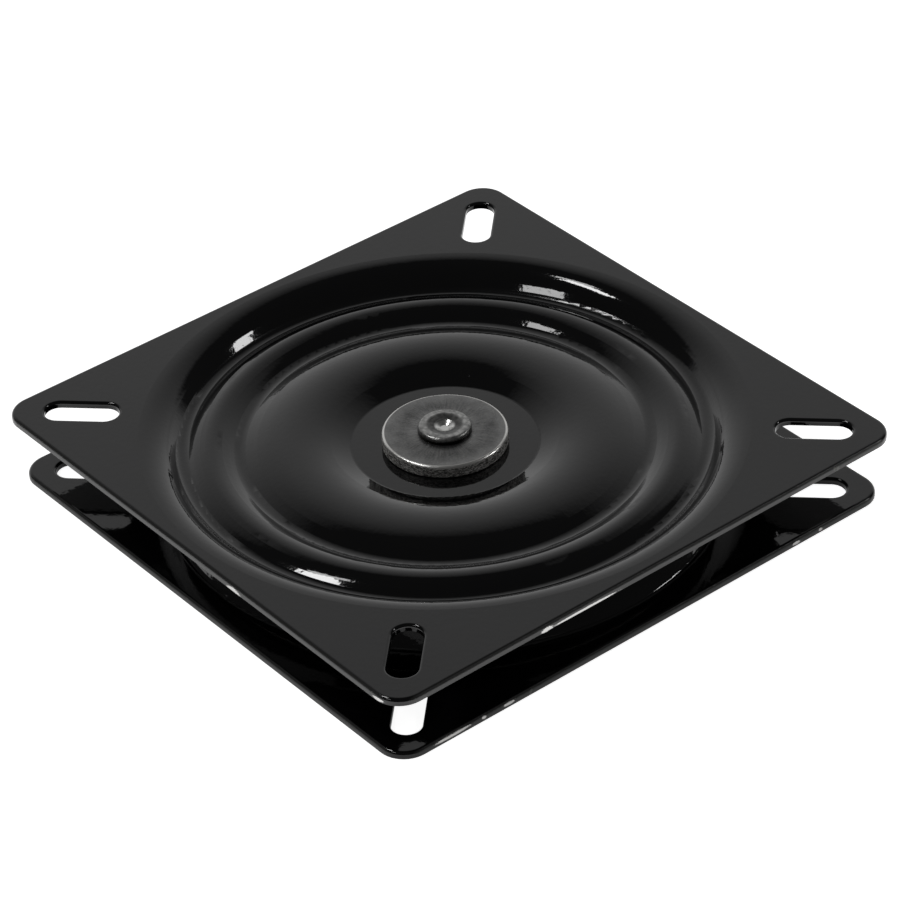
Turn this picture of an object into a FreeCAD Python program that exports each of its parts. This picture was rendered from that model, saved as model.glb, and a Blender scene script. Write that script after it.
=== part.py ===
import FreeCAD, Part

# Boat seat swivel: two pressed steel plates that turn on each other.
# The seat bolts to the upper plate and the pedestal or box to the lower one.
# A ring of balls between the plates carries the weight. A thick washer, held by a central
# shouldered rivet, keeps the seat plate down on them.
# Millimetres, +Z up. The origin is on the swivel axis, in the face that rests on the pedestal.

import math
import os

import Sketcher

PARTS = "parts"
os.makedirs(PARTS, exist_ok=True)

doc = FreeCAD.newDocument("seat_swivel")

# Driving sizes, one cell each
DRIVING = {
    # whole swivel
    "overall_height": 22.0,
    "seat_plate_side": 178.0,
    "base_plate_step": 2.0,
    "corner_radius": 8.0,
    "seat_gauge": 2.0,
    "base_gauge": 2.0,
    "sheared_edge": 1.1,
    "press_margin": 1.6,
    # diagonal slots for the fixing screws, each inset from two sides of its own plate
    "slot_length": 21.3,
    "slot_width": 8.4,
    "seat_slot_inset": 16.5,
    "base_slot_inset": 15.5,
    "slot_edge": 0.9,
    # pressed rings of the seat plate: each run is the distance between two neighbours, each
    # drop is from the flange's upper face to the sheet's upper face, each bend is an inside
    # radius, and a dome of fullness 1 would run straight into the valley's bend
    "ridge_inset": 23.6,
    "ridge_drop": 3.6,
    "ridge_bend": 4.6,
    "moat_run": 7.7,
    "moat_drop": 6.45,
    "moat_bend": 3.1,
    "rim_run": 12.4,
    "rim_bend": 9.5,
    "valley_run": 8.15,
    "valley_drop": 6.57,
    "valley_bend": 3.9,
    "dome_share": 0.52,
    "dome_drop": 3.12,
    "dome_fullness": 0.95,
    "dish_margin": 8.5,
    "dish_drop": 7.25,
    "dish_bend": 1.5,
    # pressed rings of the base plate
    "foot_run": 14.6,
    "foot_bend": 2.0,
    "shoulder_rise": 2.1,
    "shoulder_run": 6.05,
    "shoulder_bend": 1.0,
    "well_run": 15.4,
    "well_bend": 3.0,
    "well_height": 6.2,
    # ball ring
    "ball": 6.35,
    "ball_count": 24,
    "cage_gauge": 1.2,
    "cage_web": 1.1,
    # clearances
    "race_clear": 0.04,
    "race_ease": 0.12,
    "pocket_clear": 0.2,
    "running_clear": 0.05,
    # washer and rivet
    "washer_radius": 17.8,
    "washer_gauge": 3.8,
    "washer_round": 0.95,
    "washer_low_round": 0.5,
    "shank_radius": 8.0,
    "spigot_radius": 5.5,
    "lower_head_radius": 11.5,
    "lower_head_rise": 3.0,
    "lower_head_chamfer": 0.8,
    "peen_radius": 7.6,
    "peen_rise": 2.1,
    "peen_round": 1.1,
    "cup_radius": 5.3,
    "cup_depth": 0.45,
    "dimple_radius": 2.9,
    "dimple_floor": 1.2,
    "dimple_depth": 0.9,
    "cup_round": 0.3,
}

# Sizes worked out from the driving ones
WORKED = {
    "base_plate_side": "Sizes.seat_plate_side - 2 * Sizes.base_plate_step",
    "seat_slot_place": "Sizes.seat_plate_side / 2 - Sizes.seat_slot_inset",
    "base_slot_place": "base_plate_side / 2 - Sizes.base_slot_inset",
    "seat_flange_low": "Sizes.overall_height - Sizes.seat_gauge",
    "ball_circle": "Sizes.seat_plate_side / 2 - Sizes.ridge_inset",
    "moat_place": "ball_circle + Sizes.moat_run",
    "rim_place": "moat_place + Sizes.rim_run",
    "valley_place": "ball_circle - Sizes.valley_run",
    "dish_place": "Sizes.washer_radius + Sizes.dish_margin",
    "dome_place": "dish_place + Sizes.dome_share * (valley_place - dish_place)",
    "dome_run": "valley_place - dome_place",
    "dome_fall": "Sizes.valley_drop - Sizes.dome_drop",
    "dome_limit": "(dome_run ^ 2 + dome_fall ^ 2) / (2 * dome_fall)",
    "dome_bend": "Sizes.dome_fullness * dome_limit - Sizes.valley_bend - Sizes.seat_gauge",
    "ridge_level": "Sizes.overall_height - Sizes.ridge_drop",
    "moat_level": "Sizes.overall_height - Sizes.moat_drop",
    "valley_level": "Sizes.overall_height - Sizes.valley_drop",
    "dome_level": "Sizes.overall_height - Sizes.dome_drop",
    "dish_level": "Sizes.overall_height - Sizes.dish_drop",
    "press_radius": "rim_place + Sizes.press_margin",
    "ball_roof": "ridge_level - Sizes.seat_gauge",
    "ball_height": "ball_roof - Sizes.race_clear - Sizes.ball / 2",
    "race_level": "ball_height - Sizes.ball / 2 - Sizes.race_clear",
    "race_bend": "Sizes.ball / 2 + Sizes.race_ease",
    "foot_place": "ball_circle + Sizes.foot_run",
    "shoulder_level": "race_level + Sizes.shoulder_rise",
    "shoulder_out": "ball_circle + Sizes.shoulder_run",
    "shoulder_in": "ball_circle - Sizes.shoulder_run",
    "well_place": "ball_circle - Sizes.well_run",
    "base_press_radius": "foot_place + Sizes.press_margin",
    "washer_low": "dish_level + Sizes.running_clear",
    "washer_top": "washer_low + Sizes.washer_gauge",
    "shank_hole_radius": "Sizes.shank_radius + Sizes.running_clear",
    "spigot_hole_radius": "Sizes.spigot_radius + Sizes.running_clear",
    "lower_head_seat": "Sizes.well_height - Sizes.base_gauge",
    "lower_head_low": "lower_head_seat - Sizes.lower_head_rise",
    "peen_top": "washer_top + Sizes.peen_rise",
    "cup_level": "peen_top - Sizes.cup_depth",
    "ball_pocket": "Sizes.ball / 2 + Sizes.pocket_clear",
}

COLUMN_NAME = "A"
COLUMN_VALUE = "B"


def fill_sheet(name, rows, prefix):
    """Write one spreadsheet: the name in one column, the aliased value beside it."""
    sheet = doc.addObject("Spreadsheet::Sheet", name)
    for row, (alias, value) in enumerate(rows.items(), start=1):
        sheet.set(f"{COLUMN_NAME}{row}", alias)
        sheet.set(f"{COLUMN_VALUE}{row}", f"{prefix}{value}")
        sheet.setAlias(f"{COLUMN_VALUE}{row}", alias)
    return sheet


sizes = fill_sheet("Sizes", DRIVING, "")
doc.recompute()
worked = fill_sheet("Worked", WORKED, "=")
doc.recompute()


def number(text):
    """Value of an expression on the two sheets."""
    return float(worked.evalExpression(text))


def origin_feature(body, role):
    """A base plane or axis of the body, found by its role."""
    return next(item for item in body.Origin.OriginFeatures if item.Role == role)


def new_body(label):
    body = doc.addObject("PartDesign::Body", label)
    body.Label = label
    return body


def new_sketch(body, name, role, height=None):
    """A sketch on one of the body's own base planes, lifted to a height where one is given."""
    sketch = body.newObject("Sketcher::SketchObject", name)
    sketch.AttachmentSupport = [(origin_feature(body, role), "")]
    sketch.MapMode = "FlatFace"
    if height:
        sketch.setExpression("AttachmentOffset.Base.z", height)
    return sketch


def bind(sketch, sized, plain):
    """Add plain constraints, then sized ones, each tied to its expression."""
    sketch.addConstraint(plain)
    for kind, places, text in sized:
        made = sketch.addConstraint(Sketcher.Constraint(kind, *places, number(text)))
        word = f"{kind}_{made}"
        sketch.renameConstraint(made, word)
        sketch.setExpression(f"Constraints.{word}", text)


ORIGIN = (-1, 1)
START, END, CENTRE = range(1, 4)


def circle(sketch, radius):
    """A circle round the sketch's origin."""
    made = sketch.addGeometry(Part.Circle(FreeCAD.Vector(0, 0, 0), FreeCAD.Vector(0, 0, 1), number(radius)))
    centred = Sketcher.Constraint("Coincident", made, CENTRE, *ORIGIN)
    bind(sketch, [("Radius", (made,), radius)], [centred])


def circle_at(sketch, radius, along):
    """A circle on the sketch's first axis, at a distance from its origin."""
    centre = FreeCAD.Vector(number(along), 0, 0)
    made = sketch.addGeometry(Part.Circle(centre, FreeCAD.Vector(0, 0, 1), number(radius)))
    on_axis = Sketcher.Constraint("PointOnObject", made, CENTRE, -1)
    place = ("DistanceX", (*ORIGIN, made, CENTRE), along)
    bind(sketch, [("Radius", (made,), radius), place], [on_axis])


def arc(centre, radius, first, last):
    """Anticlockwise arc between two angles in degrees."""
    whole = Part.Circle(FreeCAD.Vector(centre[0], centre[1], 0), FreeCAD.Vector(0, 0, 1), radius)
    return Part.ArcOfCircle(whole, math.radians(first), math.radians(last))


def on_circle(centre, radius, angle):
    turn = math.radians(angle)
    return FreeCAD.Vector(centre[0] + radius * math.cos(turn), centre[1] + radius * math.sin(turn), 0)


def rounded_loop(sketch, corners):
    """Straight runs and corner arcs in one loop. Each corner has the place of its centre,
    its radius, and the angles at which its arc begins and ends."""
    arcs = []
    for across, up, radius, first, last in corners:
        centre = (number(across), number(up))
        arcs.append(sketch.addGeometry(arc(centre, number(radius), first, last)))
    plain = []
    sized = []
    for index, (across, up, radius, _, last) in enumerate(corners):
        after = (index + 1) % len(corners)
        begin = on_circle((number(across), number(up)), number(radius), last)
        next_across, next_up, next_radius, next_first, _ = corners[after]
        finish = on_circle((number(next_across), number(next_up)), number(next_radius), next_first)
        run = sketch.addGeometry(Part.LineSegment(begin, finish))
        plain.append(Sketcher.Constraint("Tangent", run, START, arcs[index], END))
        plain.append(Sketcher.Constraint("Tangent", run, END, arcs[after], START))
        sized.append(("DistanceX", (*ORIGIN, arcs[index], CENTRE), across))
        sized.append(("DistanceY", (*ORIGIN, arcs[index], CENTRE), up))
        sized.append(("Radius", (arcs[index],), radius))
    bind(sketch, sized, plain)


def rounded_square(sketch, side, corner):
    """A square round the origin with rounded corners."""
    far = f"{side} / 2 - {corner}"
    near = f"{corner} - {side} / 2"
    rounded_loop(
        sketch,
        [
            (far, far, corner, 0, 90),
            (near, far, corner, 90, 180),
            (near, near, corner, 180, 270),
            (far, near, corner, 270, 360),
        ],
    )


# Heading of a slot from the middle of the plate, and how many corners have one
DIAGONAL = 45
CORNERS = 4


def diagonal_slot(sketch, place):
    """A round-ended slot that runs outwards along the square's diagonal."""
    shift = f"(Sizes.slot_length - Sizes.slot_width) / 2 * cos({DIAGONAL})"
    inner = f"{place} - {shift}"
    outer = f"{place} + {shift}"
    radius = "Sizes.slot_width / 2"
    left, right = DIAGONAL + 90, DIAGONAL - 90
    rounded_loop(sketch, [(inner, inner, radius, left, right + 360), (outer, outer, radius, right, left)])


def polygon(sketch, corners):
    """Closed outline of straight runs. Each corner has its two distances from the origin, and
    a distance of None stands for the axis itself."""
    points = [FreeCAD.Vector(number(across) if across else 0, number(up), 0) for across, up in corners]
    runs = []
    for index, point in enumerate(points):
        runs.append(sketch.addGeometry(Part.LineSegment(point, points[(index + 1) % len(points)])))
    plain = []
    sized = []
    for index, (across, up) in enumerate(corners):
        plain.append(Sketcher.Constraint("Coincident", runs[index - 1], END, runs[index], START))
        if across:
            sized.append(("DistanceX", (*ORIGIN, runs[index], START), across))
        else:
            plain.append(Sketcher.Constraint("PointOnObject", runs[index], START, -2))
        sized.append(("DistanceY", (*ORIGIN, runs[index], START), up))
    bind(sketch, sized, plain)


def pad(body, sketch, length):
    made = body.newObject("PartDesign::Pad", f"{body.Label}_pad")
    made.Profile = sketch
    made.setExpression("Length", length)
    return made


def pocket(body, sketch, name, length):
    """Cut down from the sketch, and make sure that something was cut."""
    doc.recompute()
    before = body.Shape.Volume
    made = body.newObject("PartDesign::Pocket", name)
    made.Profile = sketch
    made.setExpression("Length", length)
    doc.recompute()
    if body.Shape.Volume >= before:
        raise RuntimeError(f"{name} cuts nothing")
    return made


def revolve(body, sketch, name):
    """Turn a section on the body's XZ plane round the swivel axis."""
    made = body.newObject("PartDesign::Revolution", name)
    made.Profile = sketch
    made.ReferenceAxis = (sketch, ["V_Axis"])
    made.Angle = 360
    return made


def ring_of(body, feature, name, count):
    """Repeat a feature round the swivel axis."""
    made = body.newObject("PartDesign::PolarPattern", name)
    made.Originals = [feature]
    made.Axis = (origin_feature(body, "Z_Axis"), [""])
    made.Angle = 360
    made.setExpression("Occurrences", count)
    body.Tip = made
    doc.recompute()
    return made


def soften(body, kind, name, size, chosen):
    """Fillet or chamfer the edges of the body that the test picks."""
    base = body.Tip
    words = [f"Edge{place}" for place, edge in enumerate(base.Shape.Edges, start=1) if chosen(edge)]
    if not words:
        raise RuntimeError(f"{name} finds no edge")
    made = body.newObject(f"PartDesign::{kind}", name)
    made.Base = (base, words)
    made.setExpression("Radius" if kind == "Fillet" else "Size", size)
    doc.recompute()
    return made


# How near a point must lie to a level or a radius to count as on it
TOUCH = 1e-4


def lies_at(edge, height):
    box = edge.BoundBox
    return abs(box.ZMin - height) < TOUCH and abs(box.ZMax - height) < TOUCH


def middle_radius(edge):
    """Distance from the swivel axis to the middle of an edge."""
    middle = edge.valueAt((edge.FirstParameter + edge.LastParameter) / 2)
    return math.hypot(middle.x, middle.y)


def ring_edge(height, radius):
    """Test for a round edge on the axis, at a height and with a radius."""
    return lambda edge: lies_at(edge, height) and abs(middle_radius(edge) - radius) < TOUCH


def bend_values(bend, gauge):
    """Centre height and the two face radii of a bend, as expressions."""
    kind, _, level, inside = bend
    if kind == "crest":
        return f"{level} - {inside} - {gauge}", f"{inside} + {gauge}", inside
    return f"{level} + {inside}", inside, f"{inside} + {gauge}"


def common_tangents(bends, gauge):
    """Slope, in degrees, of the straight run before, between and after the bends. A positive
    slope falls towards the axis. The first and the last run are level."""
    slopes = [0.0]
    for outer, inner in zip(bends, bends[1:]):
        signed = []
        centres = []
        for bend in (outer, inner):
            height, radius, _ = bend_values(bend, gauge)
            signed.append(number(radius) * (1 if bend[0] == "crest" else -1))
            centres.append((number(bend[1]), number(height)))
        reach = centres[0][0] - centres[1][0]
        climb = centres[1][1] - centres[0][1]
        turn = math.asin((signed[0] - signed[1]) / math.hypot(reach, climb))
        slopes.append(math.degrees(turn - math.atan2(climb, reach)))
    slopes.append(0.0)
    return slopes


def sheet_face(sketch, bends, slopes, ends, gauge, lower):
    """One face of a pressed sheet's section, from its outer end to its inner end: level and
    sloping runs, tangent to the arc of each bend."""
    arcs = []
    for index, bend in enumerate(bends):
        height, upper_radius, lower_radius = bend_values(bend, gauge)
        centre = (number(bend[1]), number(height))
        radius = number(lower_radius if lower else upper_radius)
        before, after = slopes[index], slopes[index + 1]
        first, last = (90 + before, 90 + after) if bend[0] == "crest" else (270 + after, 270 + before)
        made = sketch.addGeometry(arc(centre, radius, first, last))
        outer, inner = (START, END) if bend[0] == "crest" else (END, START)
        geometry = sketch.Geometry[made]
        touch = (geometry.StartPoint, geometry.EndPoint)
        arcs.append((made, outer, inner, touch[outer - 1], touch[inner - 1]))
    runs = []
    outer_end = FreeCAD.Vector(number(ends[0]), arcs[0][3].y, 0)
    inner_end = FreeCAD.Vector(number(ends[1]), arcs[-1][4].y, 0)
    begins = [outer_end] + [item[4] for item in arcs]
    finishes = [item[3] for item in arcs] + [inner_end]
    for begin, finish in zip(begins, finishes):
        runs.append(sketch.addGeometry(Part.LineSegment(begin, finish)))
    plain = [Sketcher.Constraint("Horizontal", runs[0]), Sketcher.Constraint("Horizontal", runs[-1])]
    for index, (made, outer, inner, _, _) in enumerate(arcs):
        plain.append(Sketcher.Constraint("Tangent", runs[index], END, made, outer))
        plain.append(Sketcher.Constraint("Tangent", runs[index + 1], START, made, inner))
    return [item[0] for item in arcs], runs, plain


def sheet_section(sketch, bends, ends, gauge):
    """Section of a pressed sheet of even thickness, drawn as crests and troughs."""
    slopes = common_tangents(bends, gauge)
    top_arcs, top_runs, top_plain = sheet_face(sketch, bends, slopes, ends, gauge, False)
    low_arcs, low_runs, low_plain = sheet_face(sketch, bends, slopes, ends, gauge, True)
    plain = top_plain + low_plain
    sized = []
    for index, bend in enumerate(bends):
        height, upper_radius, lower_radius = bend_values(bend, gauge)
        top, low = top_arcs[index], low_arcs[index]
        plain.append(Sketcher.Constraint("Coincident", low, CENTRE, top, CENTRE))
        sized.append(("DistanceX", (*ORIGIN, top, CENTRE), bend[1]))
        sized.append(("DistanceY", (*ORIGIN, top, CENTRE), height))
        sized.append(("Radius", (top,), upper_radius))
        sized.append(("Radius", (low,), lower_radius))
    for top, low, place, end in (
        (top_runs[0], low_runs[0], START, ends[0]),
        (top_runs[-1], low_runs[-1], END, ends[1]),
    ):
        corners = [sketch.Geometry[run].StartPoint if place == START else sketch.Geometry[run].EndPoint
                   for run in (top, low)]
        cap = sketch.addGeometry(Part.LineSegment(*corners))
        plain.append(Sketcher.Constraint("Coincident", cap, START, top, place))
        plain.append(Sketcher.Constraint("Coincident", cap, END, low, place))
        plain.append(Sketcher.Constraint("Vertical", cap))
        sized.append(("DistanceX", (*ORIGIN, top, place), end))
    bind(sketch, sized, plain)
    print(sketch.Name, "slopes", [round(slope, 1) for slope in slopes])


def pressed_plate(label, side, gauge, flange_low, slot_place, press_radius, bends):
    """A square flange with round-ended slots, round pressed rings inside it, and the rivet's
    hole in the middle."""
    body = new_body(label)
    outline = new_sketch(body, f"{label}_outline", "XY_Plane", flange_low)
    rounded_square(outline, side, "Sizes.corner_radius")
    circle(outline, press_radius)
    pad(body, outline, gauge)
    section = new_sketch(body, f"{label}_section", "XZ_Plane")
    sheet_section(section, bends, (press_radius, "Worked.shank_hole_radius"), gauge)
    doc.recompute()
    revolve(body, section, f"{label}_rings")
    top = f"{flange_low} + {gauge}"
    slot = new_sketch(body, f"{label}_slot", "XY_Plane", top)
    diagonal_slot(slot, slot_place)
    cut = pocket(body, slot, f"{label}_slot_cut", gauge)
    ring_of(body, cut, f"{label}_slots", str(CORNERS))
    level = number(top)
    edge_reach = number(side) / 2

    def on_rim(edge):
        box = edge.BoundBox
        reach = max(box.XMax, box.YMax, -box.XMin, -box.YMin)
        return lies_at(edge, level) and reach > edge_reach - TOUCH

    def on_slot(edge):
        return lies_at(edge, level) and not on_rim(edge) and middle_radius(edge) > number(press_radius)

    soften(body, "Fillet", f"{label}_rim_edge", "Sizes.sheared_edge", on_rim)
    soften(body, "Fillet", f"{label}_slot_edge", "Sizes.slot_edge", on_slot)
    return body


def seat_plate():
    """Upper plate: the flange that the seat stands on, the ridge that roofs the balls, the
    dome, and the flat-bottomed dish under the washer."""
    bends = [
        ("crest", "Worked.rim_place", "Sizes.overall_height", "Sizes.rim_bend"),
        ("trough", "Worked.moat_place", "Worked.moat_level", "Sizes.moat_bend"),
        ("crest", "Worked.ball_circle", "Worked.ridge_level", "Sizes.ridge_bend"),
        ("trough", "Worked.valley_place", "Worked.valley_level", "Sizes.valley_bend"),
        ("crest", "Worked.dome_place", "Worked.dome_level", "Worked.dome_bend"),
        ("trough", "Worked.dish_place", "Worked.dish_level", "Sizes.dish_bend"),
    ]
    return pressed_plate(
        "top_plate",
        "Sizes.seat_plate_side",
        "Sizes.seat_gauge",
        "Worked.seat_flange_low",
        "Worked.seat_slot_place",
        "Worked.press_radius",
        bends,
    )


def base_plate():
    """Lower plate: the flange that is screwed down, the raised ring with the ball race, and
    the well in the middle that carries the rivet."""
    bends = [
        ("trough", "Worked.foot_place", "Sizes.base_gauge", "Sizes.foot_bend"),
        ("crest", "Worked.shoulder_out", "Worked.shoulder_level", "Sizes.shoulder_bend"),
        ("trough", "Worked.ball_circle", "Worked.race_level", "Worked.race_bend"),
        ("crest", "Worked.shoulder_in", "Worked.shoulder_level", "Sizes.shoulder_bend"),
        ("trough", "Worked.well_place", "Sizes.well_height", "Sizes.well_bend"),
    ]
    return pressed_plate(
        "bottom_plate",
        "Worked.base_plate_side",
        "Sizes.base_gauge",
        "0",
        "Worked.base_slot_place",
        "Worked.base_press_radius",
        bends,
    )


def round_plate(label, low, gauge, radius, hole):
    """A flat round blank with a hole in the middle."""
    body = new_body(label)
    outline = new_sketch(body, f"{label}_outline", "XY_Plane", low)
    circle(outline, radius)
    circle(outline, hole)
    pad(body, outline, gauge)
    doc.recompute()
    return body


def thick_washer():
    """Turned washer over the seat plate's dish, with both rims rounded."""
    radius = "Sizes.washer_radius"
    hole = "Worked.spigot_hole_radius"
    body = round_plate("rivet_washer", "Worked.washer_low", "Sizes.washer_gauge", radius, hole)
    upper = ring_edge(number("Worked.washer_top"), number(radius))
    soften(body, "Fillet", "rivet_washer_rim", "Sizes.washer_round", upper)
    lower = ring_edge(number("Worked.washer_low"), number(radius))
    soften(body, "Fillet", "rivet_washer_low_rim", "Sizes.washer_low_round", lower)
    return body


def shouldered_rivet():
    """Rivet: a flat head under the base plate, a thick shank whose shoulder sets the height of
    the washer, and a spigot peened over the washer into a cupped head with a punched dimple."""
    body = new_body("centre_rivet")
    section = new_sketch(body, "centre_rivet_section", "XZ_Plane")
    polygon(
        section,
        [
            (None, "Worked.lower_head_low"),
            ("Sizes.lower_head_radius", "Worked.lower_head_low"),
            ("Sizes.lower_head_radius", "Worked.lower_head_seat"),
            ("Sizes.shank_radius", "Worked.lower_head_seat"),
            ("Sizes.shank_radius", "Worked.washer_low"),
            ("Sizes.spigot_radius", "Worked.washer_low"),
            ("Sizes.spigot_radius", "Worked.washer_top"),
            ("Sizes.peen_radius", "Worked.washer_top"),
            ("Sizes.peen_radius", "Worked.peen_top"),
            ("Sizes.cup_radius", "Worked.peen_top"),
            ("Sizes.dimple_radius", "Worked.cup_level"),
            ("Sizes.dimple_floor", "Worked.cup_level - Sizes.dimple_depth"),
            (None, "Worked.cup_level - Sizes.dimple_depth"),
        ],
    )
    revolve(body, section, "centre_rivet_turned")
    doc.recompute()
    foot = ring_edge(number("Worked.lower_head_low"), number("Sizes.lower_head_radius"))
    soften(body, "Chamfer", "centre_rivet_foot", "Sizes.lower_head_chamfer", foot)
    brow = ring_edge(number("Worked.peen_top"), number("Sizes.peen_radius"))
    soften(body, "Fillet", "centre_rivet_brow", "Sizes.peen_round", brow)
    lip = ring_edge(number("Worked.peen_top"), number("Sizes.cup_radius"))
    brink = ring_edge(number("Worked.cup_level"), number("Sizes.dimple_radius"))

    def in_cup(edge):
        return lip(edge) or brink(edge)

    soften(body, "Fillet", "centre_rivet_cup", "Sizes.cup_round", in_cup)
    return body


def ball_cage():
    """Flat ring with a round pocket for each ball."""
    reach = "(Worked.ball_pocket + Sizes.cage_web)"
    body = round_plate(
        "ball_cage",
        "Worked.ball_height - Sizes.cage_gauge / 2",
        "Sizes.cage_gauge",
        f"Worked.ball_circle + {reach}",
        f"Worked.ball_circle - {reach}",
    )
    hole = new_sketch(body, "ball_cage_pocket", "XY_Plane", "Worked.ball_height + Sizes.cage_gauge / 2")
    circle_at(hole, "Worked.ball_pocket", "Worked.ball_circle")
    cut = pocket(body, hole, "ball_cage_pocket_cut", "Sizes.cage_gauge")
    ring_of(body, cut, "ball_cage_pockets", "Sizes.ball_count")
    return body


def balls():
    """Balls evenly spaced round the swivel axis, one in each pocket of the cage."""
    made = []
    for index in range(round(number("Sizes.ball_count"))):
        name = f"ball_{index + 1:02d}"
        ball = doc.addObject("Part::Sphere", name)
        ball.Label = name
        ball.setExpression("Radius", "Sizes.ball / 2")
        turn = f"{index} * 360 / Sizes.ball_count"
        ball.setExpression("Placement.Base.x", f"Worked.ball_circle * cos({turn})")
        ball.setExpression("Placement.Base.y", f"Worked.ball_circle * sin({turn})")
        ball.setExpression("Placement.Base.z", "Worked.ball_height")
        made.append(ball)
    return made


subparts = [base_plate(), seat_plate(), thick_washer(), shouldered_rivet(), ball_cage()] + balls()

doc.recompute()
for item in doc.Objects:
    if "Invalid" in item.State or "Error" in item.State:
        raise RuntimeError(f"{item.Label} failed: {item.State}")
for item in subparts:
    shape = item.Shape
    if shape.isNull() or not shape.isValid() or len(shape.Solids) != 1:
        raise RuntimeError(f"{item.Label} has no single valid solid")
for item in subparts:
    item.Shape.exportStep(os.path.join(PARTS, f"{item.Label}.step"))
    print(item.Label, "volume", round(item.Shape.Volume, 1))
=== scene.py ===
# %% [markdown]
# # A boat seat swivel
# Two square plates of pressed steel, enamelled gloss black, turn on each other over a ring of
# balls. A thick washer and a peened rivet hold them together in the middle. The engineering
# model gives every part its size and place. This lesson gives the parts their finishes, and
# puts them in a plain studio.

import math

import bmesh
import bpy
from mathutils import Matrix, Vector, noise


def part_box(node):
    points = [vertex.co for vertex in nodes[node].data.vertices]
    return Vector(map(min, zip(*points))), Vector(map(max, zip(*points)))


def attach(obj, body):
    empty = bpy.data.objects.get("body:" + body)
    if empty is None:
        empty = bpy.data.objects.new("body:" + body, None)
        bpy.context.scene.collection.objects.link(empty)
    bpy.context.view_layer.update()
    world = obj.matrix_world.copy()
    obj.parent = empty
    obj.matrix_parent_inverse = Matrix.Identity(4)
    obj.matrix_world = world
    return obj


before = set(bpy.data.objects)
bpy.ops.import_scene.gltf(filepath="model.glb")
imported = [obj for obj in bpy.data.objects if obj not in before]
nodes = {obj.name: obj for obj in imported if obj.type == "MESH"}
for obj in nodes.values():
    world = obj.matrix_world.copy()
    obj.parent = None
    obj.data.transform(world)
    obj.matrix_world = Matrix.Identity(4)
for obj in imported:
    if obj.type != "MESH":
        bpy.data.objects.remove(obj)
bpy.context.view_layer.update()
print("parts in the frame:", len(nodes))

# %% [markdown]
# ## Units and colours
# Blender works in metres, and a drawing of a swivel is in millimetres, so one constant turns
# one into the other. Colours are written as they look on a screen, as hex values, and a
# renderer needs them linear, so one function turns them.

# %% Millimetres and colours
MM = 0.001


def linear(hex_colour):
    """Screen colour written as hex, as linear red, green, blue and alpha."""
    channels = [int(hex_colour[start:start + 2], 16) / 255 for start in (1, 3, 5)]
    return (*[c / 12.92 if c <= 0.04045 else ((c + 0.055) / 1.055) ** 2.4 for c in channels], 1.0)


print("mid grey #808080 is", round(linear("#808080")[0], 3), "linear")

# %% [markdown]
# ## The camera
# The plate's edges, slots and rings in the photograph fix the camera: its heading, its height,
# how far it leans, and a long lens a little over a metre away. The long lens keeps far edges
# nearly parallel to near ones. A camera matrix is written out, so that nothing has to aim it.

# %% The camera
SENSOR = 36.0
IMAGE_SIDE = 898
FOCAL_PIXELS = 3871.54
HEADING = math.radians(52.262)
LOOK_DOWN = math.radians(35.719)
LEAN = math.radians(-2.834)
DISTANCE = 1077.85
AIM = Vector((0, 0, 22))
AIM_PIXEL = (444.344, 419.812)
NEAREST_SEEN = 0.05

backward = Vector((
    math.sin(HEADING) * math.cos(LOOK_DOWN),
    -math.cos(HEADING) * math.cos(LOOK_DOWN),
    math.sin(LOOK_DOWN),
))
level_right = (-backward).cross(Vector((0, 0, 1))).normalized()
level_up = level_right.cross(-backward)
right = math.cos(LEAN) * level_right + math.sin(LEAN) * level_up
up = -math.sin(LEAN) * level_right + math.cos(LEAN) * level_up
aside = (AIM_PIXEL[0] - IMAGE_SIDE / 2) / FOCAL_PIXELS * DISTANCE
above = -(AIM_PIXEL[1] - IMAGE_SIDE / 2) / FOCAL_PIXELS * DISTANCE
place = AIM + backward * DISTANCE - right * aside - up * above

camera_data = bpy.data.cameras.new("camera")
camera_data.sensor_width = SENSOR
camera_data.lens = FOCAL_PIXELS / IMAGE_SIDE * SENSOR
camera_data.clip_start = NEAREST_SEEN
camera = bpy.data.objects.new("camera", camera_data)
axes = Matrix((right, up, backward)).transposed().to_4x4()
camera.matrix_world = Matrix.Translation(place * MM) @ axes
bpy.context.scene.collection.objects.link(camera)
bpy.context.scene.camera = camera
print("lens", round(camera_data.lens, 1), "mm at", [round(value, 3) for value in camera.location])

# %% [markdown]
# ## Building materials from nodes
# A material is a small network. One function adds a node, sets its values and joins its
# inputs, so that each finish below reads as a list of steps. Every pattern is placed by the
# part's own coordinates, in metres, so a scale is one over a real size.

# %% Adding a node
def add_node(tree, kind, settings=(), values=(), links=()):
    """One node: settings are its own fields, values its inputs, links the sockets that feed it."""
    node = tree.nodes.new(kind)
    for field, value in dict(settings).items():
        setattr(node, field, value)
    for socket, value in dict(values).items():
        node.inputs[socket].default_value = value
    for socket, source in dict(links).items():
        tree.links.new(source, node.inputs[socket])
    return node


def new_material(name):
    """An empty material, its tree, its output node and the part's own coordinates."""
    material = bpy.data.materials.new(name)
    material.use_nodes = True
    tree = material.node_tree
    tree.nodes.clear()
    coordinates = add_node(tree, "ShaderNodeTexCoord").outputs["Object"]
    return material, tree, add_node(tree, "ShaderNodeOutputMaterial"), coordinates


def give(node_name, material):
    """Put one material in every slot of a part of the frame."""
    for slot in nodes[node_name].material_slots:
        slot.material = material


print("parts that wait for a finish:", len(nodes))

# %% [markdown]
# ## Two measures that the finishes share
# The rings, the washer and the rivet are round, so their marks follow the distance from the
# axis. The plates' rims are square, so theirs follow the larger of x and y, signs left out,
# which is the same all along a square's edge.

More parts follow.
